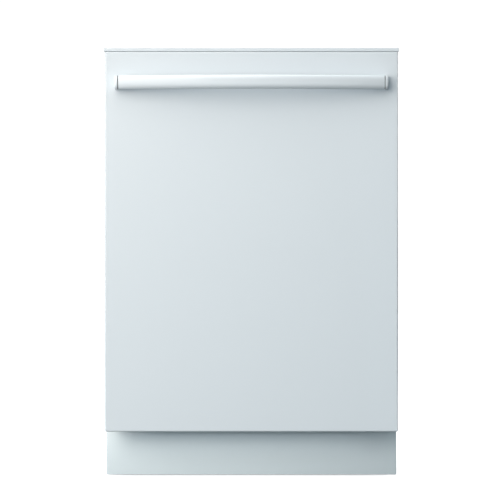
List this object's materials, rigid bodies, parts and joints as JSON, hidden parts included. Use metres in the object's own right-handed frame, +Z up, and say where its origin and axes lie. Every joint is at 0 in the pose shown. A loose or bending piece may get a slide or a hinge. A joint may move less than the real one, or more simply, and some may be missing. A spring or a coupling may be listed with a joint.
{
  "type": "built-in dishwasher",
  "caption": "Built-in dishwasher with a plain drop-down door, bowed bar handle, recessed toe kick, sliding racks, rotating spray arms and a filter sump.",
  "frame": {"origin": "centre of the footprint on the floor", "axes": "+Z up, +X to the right seen from the front, the front faces -Y"},
  "size_m": [0.598, 0.649, 0.872],
  "materials": {
    "enamel": "smooth glossy cool-white enamel",
    "stainless": "brushed stainless sheet",
    "galvanised": "dull zinc-plated steel",
    "wire": "nylon-coated steel wire, satin grey",
    "grey_plastic": "mid-grey polypropylene, fine satin",
    "white_plastic": "white moulded plastic, satin",
    "dark_plastic": "black moulded plastic, matt",
    "rubber": "black rubber seal",
    "felt": "dark bitumen-backed felt",
    "glass": "glossy black display window"
  },
  "bodies": {
    "cabinet": {"tub": "stainless", "front_frame": "stainless", "door_gasket": "rubber", "base_pan": "dark_plastic", "left_side_post": "galvanised", "right_side_post": "galvanised", "toe_kick_panel": "enamel", "insulation_blanket": "felt", "left_mounting_bracket": "galvanised", "right_mounting_bracket": "galvanised", "sump_housing": "grey_plastic", "circulation_pump": "dark_plastic", "drain_pump": "grey_plastic", "inlet_valve": "white_plastic", "junction_box": "galvanised", "feed_pipe": "grey_plastic", "left_rail_channel": "stainless", "right_rail_channel": "stainless", "fine_filter": "stainless"},
    "door": {"door_outer_panel": "enamel", "door_inner_liner": "stainless", "control_strip": "enamel", "display_window": "glass", "handle_bar": "enamel", "handle_left_cap": "enamel", "handle_right_cap": "enamel", "dispenser_body": "grey_plastic", "left_hinge_arm": "galvanised", "right_hinge_arm": "galvanised", "door_latch": "grey_plastic"},
    "upper_rack": {"upper_rack": "wire", "upper_feed_tube": "grey_plastic"},
    "lower_rack": {"lower_rack": "wire", "cutlery_basket": "grey_plastic"},
    "detergent_lid": {"detergent_lid": "grey_plastic"},
    "rinse_aid_cap": {"rinse_aid_cap": "dark_plastic"},
    "power_button": {"power_button": "grey_plastic"},
    "program_button_1": {"program_button_1": "grey_plastic"},
    "program_button_2": {"program_button_2": "grey_plastic"},
    "program_button_3": {"program_button_3": "grey_plastic"},
    "start_button": {"start_button": "grey_plastic"},
    "left_rail_slider": {"left_rail_slider": "galvanised"},
    "right_rail_slider": {"right_rail_slider": "galvanised"},
    "upper_spray_arm": {"upper_spray_arm": "grey_plastic"},
    "left_cup_shelf": {"left_cup_shelf": "grey_plastic"},
    "right_cup_shelf": {"right_cup_shelf": "grey_plastic"},
    "front_left_wheel": {"front_left_wheel": "white_plastic"},
    "front_right_wheel": {"front_right_wheel": "white_plastic"},
    "rear_left_wheel": {"rear_left_wheel": "white_plastic"},
    "rear_right_wheel": {"rear_right_wheel": "white_plastic"},
    "front_tine_row": {"front_tine_row": "wire"},
    "rear_tine_row": {"rear_tine_row": "wire"},
    "lower_spray_arm": {"lower_spray_arm": "grey_plastic"},
    "top_spray_arm": {"top_spray_arm": "grey_plastic"},
    "filter_cup": {"filter_cup": "grey_plastic"},
    "front_left_foot": {"front_left_foot": "dark_plastic"},
    "front_right_foot": {"front_right_foot": "dark_plastic"},
    "rear_foot": {"rear_foot": "dark_plastic"}
  },
  "joints": [
    {"name": "door_hinge", "type": "hinge", "parent": "cabinet", "child": "door", "pos_m": [0, -0.2525, 0.122], "axis": [1, 0, 0], "range_deg": [0, 90], "stiffness_Nm_per_rad": 19},
    {"name": "detergent_lid_hinge", "type": "hinge", "parent": "door", "child": "detergent_lid", "pos_m": [-0.0425, -0.2192, 0.4395], "axis": [1, 0, 0], "range_deg": [0, 100]},
    {"name": "rinse_aid_cap_turn", "type": "hinge", "parent": "door", "child": "rinse_aid_cap", "pos_m": [0.05, -0.2225, 0.4], "axis": [0, 1, 0], "range_deg": [0, 90]},
    {"name": "power_button_push", "type": "slide", "parent": "door", "child": "power_button", "axis": [0, 0, -1], "range_m": [0, 0.0012], "stiffness_N_per_m": 500},
    {"name": "program_button_1_push", "type": "slide", "parent": "door", "child": "program_button_1", "axis": [0, 0, -1], "range_m": [0, 0.0012], "stiffness_N_per_m": 500},
    {"name": "program_button_2_push", "type": "slide", "parent": "door", "child": "program_button_2", "axis": [0, 0, -1], "range_m": [0, 0.0012], "stiffness_N_per_m": 500},
    {"name": "program_button_3_push", "type": "slide", "parent": "door", "child": "program_button_3", "axis": [0, 0, -1], "range_m": [0, 0.0012], "stiffness_N_per_m": 500},
    {"name": "start_button_push", "type": "slide", "parent": "door", "child": "start_button", "axis": [0, 0, -1], "range_m": [0, 0.0012], "stiffness_N_per_m": 500},
    {"name": "upper_rack_slide", "type": "slide", "parent": "cabinet", "child": "upper_rack", "axis": [0, -1, 0], "range_m": [0, 0.42]},
    {"name": "left_rail_slide", "type": "slide", "parent": "cabinet", "child": "left_rail_slider", "axis": [0, -1, 0], "range_m": [0, 0.21]},
    {"name": "right_rail_slide", "type": "slide", "parent": "cabinet", "child": "right_rail_slider", "axis": [0, -1, 0], "range_m": [0, 0.21]},
    {"name": "lower_rack_slide", "type": "slide", "parent": "cabinet", "child": "lower_rack", "axis": [0, -1, 0], "range_m": [0, 0.18]},
    {"name": "front_left_wheel_spin", "type": "hinge", "parent": "lower_rack", "child": "front_left_wheel", "pos_m": [-0.252, -0.1, 0.1703], "axis": [1, 0, 0], "range_deg": [0, 575]},
    {"name": "front_right_wheel_spin", "type": "hinge", "parent": "lower_rack", "child": "front_right_wheel", "pos_m": [0.252, -0.1, 0.1703], "axis": [1, 0, 0], "range_deg": [0, 575]},
    {"name": "rear_left_wheel_spin", "type": "hinge", "parent": "lower_rack", "child": "rear_left_wheel", "pos_m": [-0.252, 0.2, 0.1703], "axis": [1, 0, 0], "range_deg": [0, 575]},
    {"name": "rear_right_wheel_spin", "type": "hinge", "parent": "lower_rack", "child": "rear_right_wheel", "pos_m": [0.252, 0.2, 0.1703], "axis": [1, 0, 0], "range_deg": [0, 575]},
    {"name": "front_tine_row_hinge", "type": "hinge", "parent": "lower_rack", "child": "front_tine_row", "pos_m": [0, 0.005, 0.2065], "axis": [1, 0, 0], "range_deg": [0, 88]},
    {"name": "rear_tine_row_hinge", "type": "hinge", "parent": "lower_rack", "child": "rear_tine_row", "pos_m": [0, 0.205, 0.2065], "axis": [1, 0, 0], "range_deg": [0, 88]},
    {"name": "left_cup_shelf_hinge", "type": "hinge", "parent": "upper_rack", "child": "left_cup_shelf", "pos_m": [-0.235, 0.025, 0.61], "axis": [0, -1, 0], "range_deg": [0, 85]},
    {"name": "right_cup_shelf_hinge", "type": "hinge", "parent": "upper_rack", "child": "right_cup_shelf", "pos_m": [0.235, 0.025, 0.61], "axis": [0, 1, 0], "range_deg": [0, 85]},
    {"name": "lower_spray_arm_spin", "type": "hinge", "parent": "cabinet", "child": "lower_spray_arm", "pos_m": [0, 0.04, 0.169], "axis": [0, 0, 1], "continuous": true},
    {"name": "top_spray_arm_spin", "type": "hinge", "parent": "cabinet", "child": "top_spray_arm", "pos_m": [0, 0.04, 0.818], "axis": [0, 0, 1], "continuous": true},
    {"name": "upper_spray_arm_spin", "type": "hinge", "parent": "upper_rack", "child": "upper_spray_arm", "pos_m": [0, 0.04, 0.4765], "axis": [0, 0, 1], "continuous": true},
    {"name": "filter_cup_turn", "type": "hinge", "parent": "cabinet", "child": "filter_cup", "pos_m": [0.062, 0.04, 0.12], "axis": [0, 0, 1], "range_deg": [0, 90]},
    {"name": "front_left_foot_slide", "type": "slide", "parent": "cabinet", "child": "front_left_foot", "axis": [0, 0, -1], "range_m": [0, 0.03]},
    {"name": "front_right_foot_slide", "type": "slide", "parent": "cabinet", "child": "front_right_foot", "axis": [0, 0, -1], "range_m": [0, 0.03]},
    {"name": "rear_foot_slide", "type": "slide", "parent": "cabinet", "child": "rear_foot", "axis": [0, 0, -1], "range_m": [0, 0.03]}
  ],
  "couplings": [
    {"joint": "upper_rack_slide", "follows": "door_hinge", "m_per_rad": 0.267},
    {"joint": "left_rail_slide", "follows": "door_hinge", "m_per_rad": 0.1335},
    {"joint": "right_rail_slide", "follows": "door_hinge", "m_per_rad": 0.1335},
    {"joint": "lower_rack_slide", "follows": "door_hinge", "m_per_rad": 0.1145},
    {"joint": "front_left_wheel_spin", "follows": "door_hinge", "ratio": 6.3611},
    {"joint": "front_right_wheel_spin", "follows": "door_hinge", "ratio": 6.3611},
    {"joint": "rear_left_wheel_spin", "follows": "door_hinge", "ratio": 6.3611},
    {"joint": "rear_right_wheel_spin", "follows": "door_hinge", "ratio": 6.3611}
  ]
}
